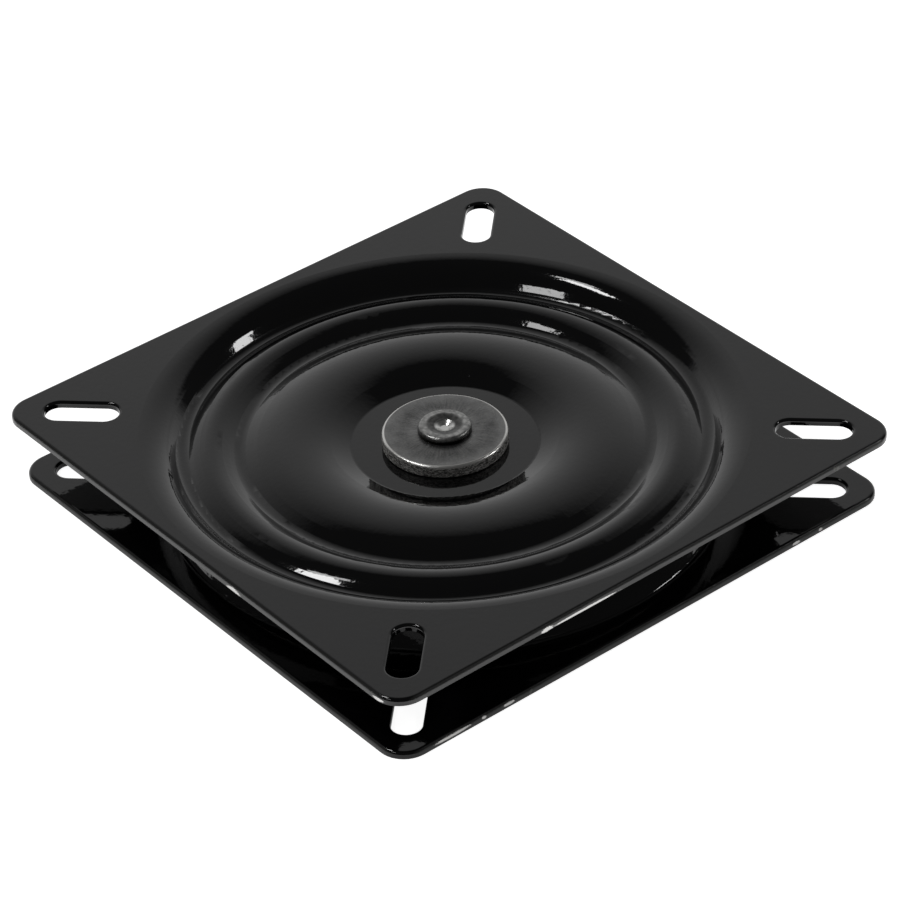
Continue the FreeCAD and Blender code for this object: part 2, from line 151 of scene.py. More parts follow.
# %% Distance from the axis, and square distance
def distance_from_axis(tree, coordinates):
    """The distance from the swivel's axis, and the flattened coordinates that it came from."""
    flat = add_node(
        tree, "ShaderNodeVectorMath", {"operation": "MULTIPLY"},
        values={1: (1, 1, 0)}, links={0: coordinates},
    ).outputs[0]
    length = add_node(tree, "ShaderNodeVectorMath", {"operation": "LENGTH"}, links={0: flat})
    return length.outputs["Value"], flat


def square_distance(tree, coordinates):
    """The larger of x and y, signs left out."""
    size = add_node(
        tree, "ShaderNodeVectorMath", {"operation": "ABSOLUTE"}, links={0: coordinates},
    )
    sides = add_node(tree, "ShaderNodeSeparateXYZ", links={"Vector": size.outputs[0]})
    return add_node(
        tree, "ShaderNodeMath", {"operation": "MAXIMUM"},
        links={0: sides.outputs["X"], 1: sides.outputs["Y"]},
    ).outputs[0]


print("materials so far:", len(bpy.data.materials))

# %% [markdown]
# ## Black stove enamel
# Both plates are dipped or sprayed and then baked: a deep black under a smooth skin of resin.
# It takes nearly all its look from what it mirrors, so it needs an IOR near 1.5 and very little
# roughness. The skin isn't quite flat: a wave a few millimetres long, called orange peel, makes
# mirrored edges tremble. Small nibs of dust are baked into it. On the rolled rims the coat is
# thinner, greyer and less smooth, and has lost a few chips down to dull grey steel. Where the
# sheared edge was knocked, bright steel is torn open.
#
# The first cell holds the relief. The upper part of each ring's wall is a little rounder on the
# real plate than in the model, so its fall is added to the shading. A nib of 0.16 mm is about
# the smallest that shows.

# %% Black stove enamel: its relief
PEEL_WAVE = 1.4 * MM
PEEL_DEPTH = 0.02 * MM
PEEL_STRENGTH = 0.8
NIB_SPACING = 5.0 * MM
NIB_SIZE = 0.16 * MM
NIB_HEIGHT = 0.05 * MM
NIB_STRENGTH = 0.5
# each ring's wall: the fall starts at the first radius, ends at the second, and is so deep, in mm
WALL_CROWNS = ((70.6, 67.2, 0.27), (60.2, 64.0, 0.20), (76.6, 77.8, 0.05))


def wall_crowns(tree, radius):
    """The normal of a relief that rounds the upper part of each ring's wall."""
    falls = [
        add_node(
            tree, "ShaderNodeMapRange", {"interpolation_type": "SMOOTHSTEP"},
            values={"From Min": start * MM, "From Max": end * MM, "To Max": fall},
            links={"Value": radius},
        ).outputs["Result"]
        for start, end, fall in WALL_CROWNS
    ]
    total = falls[0]
    for fall in falls[1:]:
        total = add_node(
            tree, "ShaderNodeMath", {"operation": "ADD"}, links={0: total, 1: fall},
        ).outputs[0]
    return add_node(
        tree, "ShaderNodeBump", {"invert": True}, values={"Distance": MM}, links={"Height": total},
    ).outputs["Normal"]


def enamel_relief(tree, coordinates, radius, crowned):
    """The normal of orange peel and nibs, over the rings' crowns if the plate is crowned."""
    peel = add_node(
        tree, "ShaderNodeTexNoise",
        values={"Scale": 1 / PEEL_WAVE, "Detail": 1.0}, links={"Vector": coordinates},
    )
    bump = add_node(
        tree, "ShaderNodeBump",
        values={"Strength": PEEL_STRENGTH, "Distance": PEEL_DEPTH},
        links={"Height": peel.outputs["Fac"]},
    )
    if crowned:
        tree.links.new(wall_crowns(tree, radius), bump.inputs["Normal"])
    nibs = add_node(
        tree, "ShaderNodeTexVoronoi",
        values={"Scale": 1 / NIB_SPACING}, links={"Vector": coordinates},
    )
    nib = add_node(
        tree, "ShaderNodeMapRange",
        values={"From Max": NIB_SIZE / NIB_SPACING, "To Min": 1.0, "To Max": 0.0},
        links={"Value": nibs.outputs["Distance"]},
    )
    return add_node(
        tree, "ShaderNodeBump",
        values={"Strength": NIB_STRENGTH, "Distance": NIB_HEIGHT},
        links={"Height": nib.outputs["Result"], "Normal": bump.outputs["Normal"]},
    ).outputs["Normal"]


print("deepest crown", max(fall for _, _, fall in WALL_CROWNS), "mm")

# %% [markdown]
# Torn places are known one by one from the photograph. Each is an egg in space, given in
# millimetres by its middle and its half sizes, and noise frays its outline.

# %% Black stove enamel: its torn places
TEAR = 0.5 * MM
FRAY = 0.9
TORN_OUTSIDE, TORN_INSIDE = 1.5, 1.3
SEAT_WEAR = (
    ((20.6, -88.9, 20.1), (3.1, 1.2, 1.1)),
    ((81.8, -88.9, 20.6), (2.2, 0.9, 0.5)),
    ((88.9, -38.5, 20.2), (1.0, 2.2, 1.0)),
    ((88.9, -25.6, 20.3), (1.0, 11.8, 0.45)),
)
BASE_WEAR = (
    ((86.9, -69.5, 1.1), (0.8, 6.2, 0.5)),
    ((86.9, -59.0, 1.1), (0.8, 0.8, 0.5)),
    ((86.9, -50.5, 1.1), (0.8, 1.9, 0.5)),
    ((86.9, 52.4, 0.9), (1.0, 1.5, 0.5)),
    ((86.9, 61.5, 0.9), (1.0, 0.7, 0.5)),
)


def torn_places(tree, coordinates, marks):
    """1 where the paint was torn off, 0 elsewhere."""
    nearest = None
    for middle, half in marks:
        scaled = add_node(
            tree, "ShaderNodeVectorMath", {"operation": "MULTIPLY_ADD"},
            values={1: [1 / (h * MM) for h in half], 2: [-m / h for m, h in zip(middle, half)]},
            links={0: coordinates},
        )
        reach = add_node(
            tree, "ShaderNodeVectorMath", {"operation": "LENGTH"}, links={0: scaled.outputs[0]},
        ).outputs["Value"]
        if nearest is None:
            nearest = reach
        else:
            nearest = add_node(
                tree, "ShaderNodeMath", {"operation": "MINIMUM"}, links={0: nearest, 1: reach},
            ).outputs[0]
    tear = add_node(
        tree, "ShaderNodeTexNoise",
        values={"Scale": 1 / TEAR, "Detail": 3.0, "Roughness": 0.7}, links={"Vector": coordinates},
    )
    frayed = add_node(
        tree, "ShaderNodeMath", {"operation": "MULTIPLY_ADD"},
        values={1: FRAY}, links={0: tear.outputs["Fac"], 2: nearest},
    )
    return add_node(
        tree, "ShaderNodeMapRange",
        values={"From Min": TORN_OUTSIDE, "From Max": TORN_INSIDE},
        links={"Value": frayed.outputs[0]},
    ).outputs["Result"]


print("torn places:", len(SEAT_WEAR), "on the seat plate,", len(BASE_WEAR), "on the base plate")

# %% [markdown]
# The chips come from noise, and only the last part of a millimetre before the rim lets them
# through. Along one tight bend of the moat the coat is a little softer than elsewhere, so the
# lamps draw a softer line there.

# %% Black stove enamel: its colour and gloss
ENAMEL_IOR = 1.5
ENAMEL, THIN_ENAMEL = "#080809", "#3a3a39"
CHIPPED_STEEL, TORN_EDGE = "#6d6c69", "#c9c8c6"
FLAT_ROUGH, BEND_ROUGH, RIM_ROUGH, CHIP_ROUGH = 0.05, 0.13, 0.28, 0.45
RIM_STARTS, RIM_FULL = 0.9 * MM, 0.2 * MM
CHIP_LENGTH = 3.2 * MM
CHIP_STARTS, CHIP_FULL = 0.67, 0.70
SOFT_BEND = 74.6 * MM
SOFT_BEND_REACH = 0.75 * MM


def rim_and_chips(tree, coordinates, half_side):
    """1 along the plate's rim, and 1 where a chip has left it."""
    at_rim = add_node(
        tree, "ShaderNodeMapRange",
        values={
            "From Min": half_side - RIM_STARTS, "From Max": half_side - RIM_FULL, "To Max": 1.0,
        },
        links={"Value": square_distance(tree, coordinates)},
    ).outputs["Result"]
    flaking = add_node(
        tree, "ShaderNodeTexNoise",
        values={"Scale": 1 / CHIP_LENGTH, "Detail": 4.0, "Roughness": 0.6},
        links={"Vector": coordinates},
    )
    weak = add_node(
        tree, "ShaderNodeMath", {"operation": "MULTIPLY"},
        links={0: at_rim, 1: flaking.outputs["Fac"]},
    )
    chip = add_node(
        tree, "ShaderNodeMapRange",
        values={"From Min": CHIP_STARTS, "From Max": CHIP_FULL}, links={"Value": weak.outputs[0]},
    ).outputs["Result"]
    return at_rim, chip


def enamel_colour(tree, at_rim, chip, torn_open):
    """Black, greyer on the rim, dull steel in the chips, bright steel where it is torn."""
    drawn_back = add_node(
        tree, "ShaderNodeMix", {"data_type": "RGBA"},
        values={6: linear(ENAMEL), 7: linear(THIN_ENAMEL)}, links={0: at_rim},
    )
    chipped = add_node(
        tree, "ShaderNodeMix", {"data_type": "RGBA"},
        values={7: linear(CHIPPED_STEEL)}, links={0: chip, 6: drawn_back.outputs[2]},
    )
    return add_node(
        tree, "ShaderNodeMix", {"data_type": "RGBA"},
        values={7: linear(TORN_EDGE)}, links={0: torn_open, 6: chipped.outputs[2]},
    ).outputs[2]


def enamel_roughness(tree, radius, at_rim, chip):
    """Nearly a mirror on the flats, less so on the soft bend, the rim and the chips."""
    rolled_edge = add_node(
        tree, "ShaderNodeMapRange",
        values={"To Min": FLAT_ROUGH, "To Max": RIM_ROUGH}, links={"Value": at_rim},
    )
    near_bend = add_node(
        tree, "ShaderNodeMath", {"operation": "COMPARE"},
        values={1: SOFT_BEND, 2: SOFT_BEND_REACH}, links={0: radius},
    )
    bent = add_node(
        tree, "ShaderNodeMapRange", values={"To Max": BEND_ROUGH},
        links={"Value": near_bend.outputs[0], "To Min": rolled_edge.outputs["Result"]},
    )
    return add_node(
        tree, "ShaderNodeMapRange", values={"To Max": CHIP_ROUGH},
        links={"Value": chip, "To Min": bent.outputs["Result"]},
    ).outputs["Result"]


def black_stove_enamel(name, half_side, marks, crowned):
    """The enamel of one plate, whose rim is half a side from the axis."""
    material, tree, output, coordinates = new_material(name)
    radius, _ = distance_from_axis(tree, coordinates)
    at_rim, chip = rim_and_chips(tree, coordinates, half_side)
    torn_open = torn_places(tree, coordinates, marks)
    shader = add_node(
        tree, "ShaderNodeBsdfPrincipled",
        values={"IOR": ENAMEL_IOR},
        links={
            "Base Color": enamel_colour(tree, at_rim, chip, torn_open),
            "Metallic": torn_open,
            "Roughness": enamel_roughness(tree, radius, at_rim, chip),
            "Normal": enamel_relief(tree, coordinates, radius, crowned),
        },
    )
    tree.links.new(shader.outputs["BSDF"], output.inputs["Surface"])
    return material


for name, marks in (("top_plate", SEAT_WEAR), ("bottom_plate", BASE_WEAR)):
    low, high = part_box(name)
    half_side = (high[0] - low[0]) / 2
    crowned = name == "top_plate"
    give(name, black_stove_enamel(f"{name}_black_stove_enamel", half_side, marks, crowned))
    print(name, "enamelled, chips near", round(half_side / MM, 1), "mm from the axis")

# %% [markdown]
# ## Burnished washer steel
# The washer is bare steel, blackened by oil and heat. The blow that set the rivet has drawn fine
# strokes outwards from it, and the outer part of the face is rubbed lighter and rolls gently
# down to the rim. The rims are tumbled to a pale satin, and the sheared wall between them is
# rough and speckled. The strokes are noise read round a circle: a point's heading from the axis
# is a unit vector, so the pattern has no seam. Real strokes are finer than a pixel, so these
# are as coarse as they need to be to show.

# %% Burnished washer steel: its zones
low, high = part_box("rivet_washer")
WASHER_RADIUS = (high[0] - low[0]) / 2
WASHER_ROUND = 0.95 * MM
RUBBED_FROM = 11 * MM
WALL_STARTS, WALL_FULL = 0.10 * MM, 0.02 * MM


def washer_zones(tree, reach):
    """Three masks by distance from the axis: the rubbed part, the rims, the wall."""
    rubbed = add_node(
        tree, "ShaderNodeMapRange", {"interpolation_type": "SMOOTHSTEP"},
        values={"From Min": RUBBED_FROM, "From Max": WASHER_RADIUS - WASHER_ROUND},
        links={"Value": reach},
    )
    on_rim = add_node(
        tree, "ShaderNodeMapRange",
        values={
            "From Min": WASHER_RADIUS - WASHER_ROUND,
            "From Max": WASHER_RADIUS - 0.75 * WASHER_ROUND,
        },
        links={"Value": reach},
    )
    on_wall = add_node(
        tree, "ShaderNodeMapRange",
        values={"From Min": WASHER_RADIUS - WALL_STARTS, "From Max": WASHER_RADIUS - WALL_FULL},
        links={"Value": reach},
    )
    return [zone.outputs["Result"] for zone in (rubbed, on_rim, on_wall)]


print("washer radius", round(WASHER_RADIUS / MM, 2), "mm")

# %% Burnished washer steel: its patterns
STROKES_IN_A_TURN = 190
STROKE_LENGTH = 5 * MM
STAIN = 3.5 * MM
GRAIN = 0.5 * MM
PIT = 0.9 * MM
PIT_SQUEEZE = 2.5


def washer_patterns(tree, coordinates, reach, flat):
    """Strokes that fan outwards, broad stains, fine grain, and pits."""
    heading = add_node(tree, "ShaderNodeVectorMath", {"operation": "NORMALIZE"}, links={0: flat})
    outwards = add_node(
        tree, "ShaderNodeMath", {"operation": "MULTIPLY"},
        values={1: 1 / STROKE_LENGTH}, links={0: reach},
    )
    along = add_node(tree, "ShaderNodeCombineXYZ", links={"Z": outwards.outputs[0]})
    turn = STROKES_IN_A_TURN / (2 * math.pi)
    fan = add_node(
        tree, "ShaderNodeVectorMath", {"operation": "MULTIPLY_ADD"},
        values={1: (turn, turn, 0)}, links={0: heading.outputs[0], 2: along.outputs[0]},
    )
    strokes = add_node(
        tree, "ShaderNodeTexNoise",
        values={"Scale": 1.0, "Detail": 3.0, "Roughness": 0.65}, links={"Vector": fan.outputs[0]},
    )
    stains = add_node(
        tree, "ShaderNodeTexNoise",
        values={"Scale": 1 / STAIN, "Detail": 3.0}, links={"Vector": coordinates},
    )
    grain = add_node(
        tree, "ShaderNodeTexNoise",
        values={"Scale": 1 / GRAIN, "Detail": 2.0}, links={"Vector": coordinates},
    )
    squeezed = add_node(
        tree, "ShaderNodeMapping",
        values={"Scale": (1, 1, PIT_SQUEEZE)}, links={"Vector": coordinates},
    )
    pits = add_node(
        tree, "ShaderNodeTexNoise",
        values={"Scale": 1 / PIT, "Detail": 4.0, "Roughness": 0.7},
        links={"Vector": squeezed.outputs[0]},
    )
    return [pattern.outputs["Fac"] for pattern in (strokes, stains, grain, pits)]


print("strokes at the rivet", round(2 * math.pi * 7.6 / STROKES_IN_A_TURN, 2), "mm apart")

# %% [markdown]
# The face's tone is a sum: strokes that fade outwards, stains, grain, and the rubbing, each
# with its share. A ramp turns the sum into two greys.

# %% Burnished washer steel: its colour
STROKES_FADE = (9 * MM, 15 * MM)
STROKE_SHARE, FADED_SHARE = 0.95, 0.15
STAIN_SHARE, GRAIN_SHARE, RUBBED_SHARE = 0.5, 0.35, 0.45
TONE_DARK, TONE_LIGHT = 0.5, 1.2
PIT_DARK, PIT_LIGHT = 0.44, 0.58


def washer_colour(tree, streaked, patterns, zones):
    """Two greys on the face, pale rims, and a speckled wall."""
    _, stains, grain, pits = patterns
    rubbed, on_rim, on_wall = zones
    tone = streaked
    for pattern, share in ((stains, STAIN_SHARE), (grain, GRAIN_SHARE), (rubbed, RUBBED_SHARE)):
        tone = add_node(
            tree, "ShaderNodeMath", {"operation": "MULTIPLY_ADD"},
            values={1: share}, links={0: pattern, 2: tone},
        ).outputs[0]
    face = add_node(
        tree, "ShaderNodeMapRange",
        values={"From Min": TONE_DARK, "From Max": TONE_LIGHT}, links={"Value": tone},
    )
    face_colour = add_node(
        tree, "ShaderNodeMix", {"data_type": "RGBA"},
        values={6: linear("#444444"), 7: linear("#929291")}, links={0: face.outputs["Result"]},
    )
    rim_colour = add_node(
        tree, "ShaderNodeMix", {"data_type": "RGBA"},
        values={7: linear("#e2e1de")}, links={0: on_rim, 6: face_colour.outputs[2]},
    )
    pitted = add_node(
        tree, "ShaderNodeMapRange",
        values={"From Min": PIT_DARK, "From Max": PIT_LIGHT}, links={"Value": pits},
    )
    wall_colour = add_node(
        tree, "ShaderNodeMix", {"data_type": "RGBA"},
        values={6: linear("#5c5b59"), 7: linear("#f4f2ee")}, links={0: pitted.outputs["Result"]},
    )
    return add_node(
        tree, "ShaderNodeMix", {"data_type": "RGBA"},
        links={0: on_wall, 6: rim_colour.outputs[2], 7: wall_colour.outputs[2]},
    ).outputs[2]


print("stroke share from", STROKE_SHARE, "down to", FADED_SHARE)

# %% Burnished washer steel: its roughness and relief
FACE_ROUGH, WASHER_RIM_ROUGH, WALL_ROUGH = 0.40, 0.3, 0.6
WALL_METAL = 0.45
ROLL_DEPTH = 0.12 * MM
STROKE_DEPTH, STROKE_STRENGTH = 0.04 * MM, 0.35
PIT_DEPTH, PIT_STRENGTH = 0.08 * MM, 0.4


def washer_relief(tree, streaked, pits, rubbed):
    """The normal of the roll towards the rim, the strokes and the pits."""
    roll = add_node(
        tree, "ShaderNodeBump", {"invert": True},
        values={"Distance": ROLL_DEPTH}, links={"Height": rubbed},
    )
    bump = add_node(
        tree, "ShaderNodeBump",
        values={"Strength": STROKE_STRENGTH, "Distance": STROKE_DEPTH},
        links={"Height": streaked, "Normal": roll.outputs["Normal"]},
    )
    return add_node(
        tree, "ShaderNodeBump",
        values={"Strength": PIT_STRENGTH, "Distance": PIT_DEPTH},
        links={"Height": pits, "Normal": bump.outputs["Normal"]},
    ).outputs["Normal"]


def burnished_washer_steel(name):
    material, tree, output, coordinates = new_material(name)
    reach, flat = distance_from_axis(tree, coordinates)
    rubbed, on_rim, on_wall = washer_zones(tree, reach)
    strokes, stains, grain, pits = washer_patterns(tree, coordinates, reach, flat)
    fade_from, fade_to = STROKES_FADE
    drawn = add_node(
        tree, "ShaderNodeMapRange",
        values={
            "From Min": fade_from, "From Max": fade_to,
            "To Min": STROKE_SHARE, "To Max": FADED_SHARE,
        },
        links={"Value": reach},
    )
    streaked = add_node(
        tree, "ShaderNodeMath", {"operation": "MULTIPLY"},
        links={0: strokes, 1: drawn.outputs["Result"]},
    ).outputs[0]
    colour = washer_colour(
        tree, streaked, (strokes, stains, grain, pits), (rubbed, on_rim, on_wall),
    )
    satin = add_node(
        tree, "ShaderNodeMapRange",
        values={"To Min": FACE_ROUGH, "To Max": WASHER_RIM_ROUGH}, links={"Value": on_rim},
    )
    roughness = add_node(
        tree, "ShaderNodeMapRange", values={"To Max": WALL_ROUGH},
        links={"Value": on_wall, "To Min": satin.outputs["Result"]},
    )
    metal = add_node(
        tree, "ShaderNodeMapRange",
        values={"To Min": 1.0, "To Max": WALL_METAL}, links={"Value": on_wall},
    )
    shader = add_node(
        tree, "ShaderNodeBsdfPrincipled",
        links={
            "Base Color": colour,
            "Metallic": metal.outputs["Result"],
            "Roughness": roughness.outputs["Result"],
            "Normal": washer_relief(tree, streaked, pits, rubbed),
        },
    )
    tree.links.new(shader.outputs["BSDF"], output.inputs["Surface"])
    return material


give("rivet_washer", burnished_washer_steel("burnished_washer_steel"))
print("washer finished")

# %% [markdown]
# ## Peened rivet steel
# The rivet's end was squeezed down in a press until it spread over the washer, and a punch left
# the dimple. The skin is smooth, with shallow waves where the metal flowed, and slightly uneven
# in tone. A dark ring round the dimple is painted shade in the hollow of the head, and the dimple
# is lighter, partly as bright punched steel and partly as a painted highlight. A dark band low on
# the head's side, against the washer, is painted shade.

# %% Peened rivet steel: its colour
SKIN_PATCH = 1.2 * MM
SKIN_DARK, SKIN_LIGHT = 0.35, 0.65
DIMPLE_RADIUS = 2.9 * MM
DIMPLE_EDGE = 0.3 * MM
HEAD_RADIUS = 8.0
# radius in mm, and the tint that the steel is multiplied by there; the dark ring is painted shade
HEAD_SHADE_RINGS = (
    (0.0, "#ffffff"), (2.3, "#f4f4f4"), (3.1, "#787878"),
    (4.7, "#8a8a8a"), (5.5, "#f0f0f0"), (8.0, "#d8d8d8"),
)
# heights over the washer's top where the painted shade on the head's side fades out
PAINTED_SHADE_FADES, PAINTED_SHADE_GONE = 0.8 * MM, 1.25 * MM
HEAD_TOP, HEAD_SIDE = 5 * MM, 6 * MM
low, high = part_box("centre_rivet")
washer_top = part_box("rivet_washer")[1][2]


def head_painted_shade_rings(tree, reach):
    """The tint of each ring on the head, by distance from the axis: painted shade round the dimple.
    """
    outwards = add_node(
        tree, "ShaderNodeMath", {"operation": "DIVIDE"},
        values={1: HEAD_RADIUS * MM}, links={0: reach},
    )
    rings = add_node(tree, "ShaderNodeValToRGB", links={"Fac": outwards.outputs[0]})
    stops = rings.color_ramp.elements
    for number, (at, tint) in enumerate(HEAD_SHADE_RINGS):
        stop = stops[number] if number < 2 else stops.new(at / HEAD_RADIUS)
        stop.position = at / HEAD_RADIUS
        stop.color = linear(tint)
    return rings.outputs["Color"]


def clear_of_painted_shade(tree, coordinates, reach):
    """1 where no painted shade falls: everywhere on top of the head, and high on its side."""
    height = add_node(tree, "ShaderNodeSeparateXYZ", links={"Vector": coordinates})
    above_painted_shade = add_node(
        tree, "ShaderNodeMapRange",
        values={"From Min": washer_top + PAINTED_SHADE_FADES, "From Max": washer_top + PAINTED_SHADE_GONE},
        links={"Value": height.outputs["Z"]},
    )
    on_head = add_node(
        tree, "ShaderNodeMapRange",
        values={"From Min": HEAD_TOP, "From Max": HEAD_SIDE, "To Min": 1.0, "To Max": 0.0},
        links={"Value": reach},
    )
    return add_node(
        tree, "ShaderNodeMath", {"operation": "MAXIMUM"},
        links={0: above_painted_shade.outputs["Result"], 1: on_head.outputs["Result"]},
    ).outputs[0]


def rivet_colour(tree, coordinates, reach, punched):
    """Uneven steel, lighter in the dimple as punched steel and a painted highlight, with painted
    shade in a ring round the dimple and low on the side.
    """
    skin = add_node(
        tree, "ShaderNodeTexNoise",
        values={"Scale": 1 / SKIN_PATCH, "Detail": 3.0}, links={"Vector": coordinates},
    )
    tone = add_node(
        tree, "ShaderNodeMapRange",
        values={"From Min": SKIN_DARK, "From Max": SKIN_LIGHT},
        links={"Value": skin.outputs["Fac"]},
    )
    steel = add_node(
        tree, "ShaderNodeMix", {"data_type": "RGBA"},
        values={6: linear("#8c8c8b"), 7: linear("#bebebc")}, links={0: tone.outputs["Result"]},
    )
    # lighter steel in the dimple: partly bright punched steel, partly a painted highlight
    dimple_steel_and_highlight = add_node(
        tree, "ShaderNodeMix", {"data_type": "RGBA"},
        values={7: linear("#dcdcda")}, links={0: punched, 6: steel.outputs[2]},
    )
    # a ring of painted shade round the dimple, in the hollow of the head
    ring_shaded = add_node(
        tree, "ShaderNodeMix", {"data_type": "RGBA", "blend_type": "MULTIPLY"},
        values={0: 1.0}, links={6: dimple_steel_and_highlight.outputs[2], 7: head_painted_shade_rings(tree, reach)},
    )
    # painted shade low on the head's side, against the washer
    return add_node(
        tree, "ShaderNodeMix", {"data_type": "RGBA"},
        values={6: linear("#1e1d1d")},
        links={0: clear_of_painted_shade(tree, coordinates, reach), 7: ring_shaded.outputs[2]},
    ).outputs[2]


print("rivet head stands", round((high[2] - washer_top) / MM, 2), "mm over the washer")

# %% Peened rivet steel: its gloss and relief
FLOW_WAVE = 2.6 * MM
FLOW_DEPTH, FLOW_STRENGTH = 0.25 * MM, 0.4
PEENED_ROUGH, PUNCHED_ROUGH = 0.34, 0.24


def peened_rivet_steel(name):
    material, tree, output, coordinates = new_material(name)
    reach, _ = distance_from_axis(tree, coordinates)
    punched = add_node(
        tree, "ShaderNodeMapRange",
        values={
            "From Min": DIMPLE_RADIUS - DIMPLE_EDGE, "From Max": DIMPLE_RADIUS + DIMPLE_EDGE,
            "To Min": 1.0, "To Max": 0.0,
        },
        links={"Value": reach},
    ).outputs["Result"]
    satin = add_node(
        tree, "ShaderNodeMapRange",
        values={"To Min": PEENED_ROUGH, "To Max": PUNCHED_ROUGH}, links={"Value": punched},
    )
    flow = add_node(
        tree, "ShaderNodeTexNoise",
        values={"Scale": 1 / FLOW_WAVE, "Detail": 0.0}, links={"Vector": coordinates},
    )
    waves = add_node(
        tree, "ShaderNodeBump",
        values={"Strength": FLOW_STRENGTH, "Distance": FLOW_DEPTH},
        links={"Height": flow.outputs["Fac"]},
    )
    shader = add_node(
        tree, "ShaderNodeBsdfPrincipled",
        values={"Metallic": 1.0},
        links={
            "Base Color": rivet_colour(tree, coordinates, reach, punched),
            "Roughness": satin.outputs["Result"],
            "Normal": waves.outputs["Normal"],
        },
    )
    tree.links.new(shader.outputs["BSDF"], output.inputs["Surface"])
    return material


give("centre_rivet", peened_rivet_steel("peened_rivet_steel"))
print("rivet finished")

# %% [markdown]
# ## Bearing steel and cage steel
# The balls are hardened chrome steel, ground and lapped to a mirror. Grease dulls it in soft
# patches. The cage is stamped from plain sheet and keeps the fine grain of the rolling mill,
# which runs one way over the whole ring. Real grain is finer than a pixel, so this one is
# coarser than it is.

# %% Bearing steel
GREASE_PATCH = 4 * MM
THIN_FILM, THICK_FILM = 0.4, 0.65
LAPPED_ROUGH, GREASED_ROUGH = 0.06, 0.35


def greased_bearing_steel(name):
    material, tree, output, coordinates = new_material(name)
    grease = add_node(
        tree, "ShaderNodeTexNoise",
        values={"Scale": 1 / GREASE_PATCH, "Detail": 2.0}, links={"Vector": coordinates},
    )
    film = add_node(
        tree, "ShaderNodeMapRange",
        values={
            "From Min": THIN_FILM, "From Max": THICK_FILM,
            "To Min": LAPPED_ROUGH, "To Max": GREASED_ROUGH,
        },
        links={"Value": grease.outputs["Fac"]},
    )
    colour = add_node(
        tree, "ShaderNodeMix", {"data_type": "RGBA"},
        values={6: linear("#d0d0d2"), 7: linear("#a39a86")}, links={0: grease.outputs["Fac"]},
    )
    shader = add_node(
        tree, "ShaderNodeBsdfPrincipled",
        values={"Metallic": 1.0},
        links={"Base Color": colour.outputs[2], "Roughness": film.outputs["Result"]},
    )
    tree.links.new(shader.outputs["BSDF"], output.inputs["Surface"])
    return material


bearing_steel = greased_bearing_steel("greased_bearing_steel")
ball_names = [name for name in nodes if name.startswith("ball_") and name != "ball_cage"]
for name in ball_names:
    give(name, bearing_steel)
print("balls:", len(ball_names))

# %% [markdown]
# Two bare steels differ only in their grain, two greys, relief and roughness, so one function
# makes both: the cage's, and the torn steel of the burrs below.

# %% Cage steel and torn steel
def grained_steel(name, size, detail, stretch, dark, light, strength, depth, roughness):
    """Bare steel whose grain is a size in metres, drawn out by a stretch along an axis."""
    material, tree, output, coordinates = new_material(name)
    drawn = add_node(
        tree, "ShaderNodeMapping", values={"Scale": stretch}, links={"Vector": coordinates},
    )
    grain = add_node(
        tree, "ShaderNodeTexNoise",
        values={"Scale": 1 / size, "Detail": detail}, links={"Vector": drawn.outputs[0]},
    )
    colour = add_node(
        tree, "ShaderNodeMix", {"data_type": "RGBA"},
        values={6: linear(dark), 7: linear(light)}, links={0: grain.outputs["Fac"]},
    )
    bump = add_node(
        tree, "ShaderNodeBump",
        values={"Strength": strength, "Distance": depth}, links={"Height": grain.outputs["Fac"]},
    )
    shader = add_node(
        tree, "ShaderNodeBsdfPrincipled",
        values={"Metallic": 1.0, "Roughness": roughness},
        links={"Base Color": colour.outputs[2], "Normal": bump.outputs["Normal"]},
    )
    tree.links.new(shader.outputs["BSDF"], output.inputs["Surface"])
    return material


rolled_cage_steel = grained_steel(
    "rolled_cage_steel", size=6 * MM, detail=4.0, stretch=(1, 12, 1),
    dark="#8e8c86", light="#a9a7a1", strength=0.2, depth=0.02 * MM, roughness=0.38,
)
torn_steel = grained_steel(
    "torn_steel", size=0.5 * MM, detail=3.0, stretch=(1, 1, 1),
    dark="#8c8b88", light="#e6e5e2", strength=0.6, depth=0.06 * MM, roughness=0.42,
)
give("ball_cage", rolled_cage_steel)
print("cage finished, torn steel ready")

# %% [markdown]
# ## Burrs on the sheared edges
# The shear that cut the blanks left small burrs of torn steel hanging from their lower edges,
# and the paint has come off them. A burr is a thin closed ribbon along the edge, thickest in the
# middle. Noise makes its width swell and pinch, so that no two are alike. Each plate's burrs are
# one mesh, and ride with that plate.

# %% Burrs
RIBS = 16
CORNERS = 7
THINNEST, RAGGED = 0.72, 0.28
LUMPS_PER_MM = 1.7
UPWARD = Vector((0, 0, 1))


def add_burr(points, faces, start, end, thick):
    """A ragged ribbon from start to end, in mm, with a pole at each tip."""
    start, end = Vector(start), Vector(end)
    sideways = (end - start).normalized().cross(UPWARD)
    first = len(points)
    points.append(start)
    for rib in range(1, RIBS):
        middle = start.lerp(end, rib / RIBS)
        swell = thick * math.sqrt(math.sin(math.pi * rib / RIBS))
        for corner in range(CORNERS):
            turn = 2 * math.pi * corner / CORNERS
            spoke = math.cos(turn) * sideways + math.sin(turn) * UPWARD
            ragged = THINNEST + RAGGED * noise.noise((middle + spoke) * LUMPS_PER_MM)
            points.append(middle + spoke * swell * ragged)
    points.append(end)
    last = len(points) - 1
    for corner in range(CORNERS):
        beside = (corner + 1) % CORNERS
        faces.append((first, first + 1 + beside, first + 1 + corner))
        for rib in range(RIBS - 2):
            row, next_row = first + 1 + rib * CORNERS, first + 1 + (rib + 1) * CORNERS
            faces.append((row + corner, row + beside, next_row + beside, next_row + corner))
        faces.append((last - CORNERS + corner, last - CORNERS + beside, last))


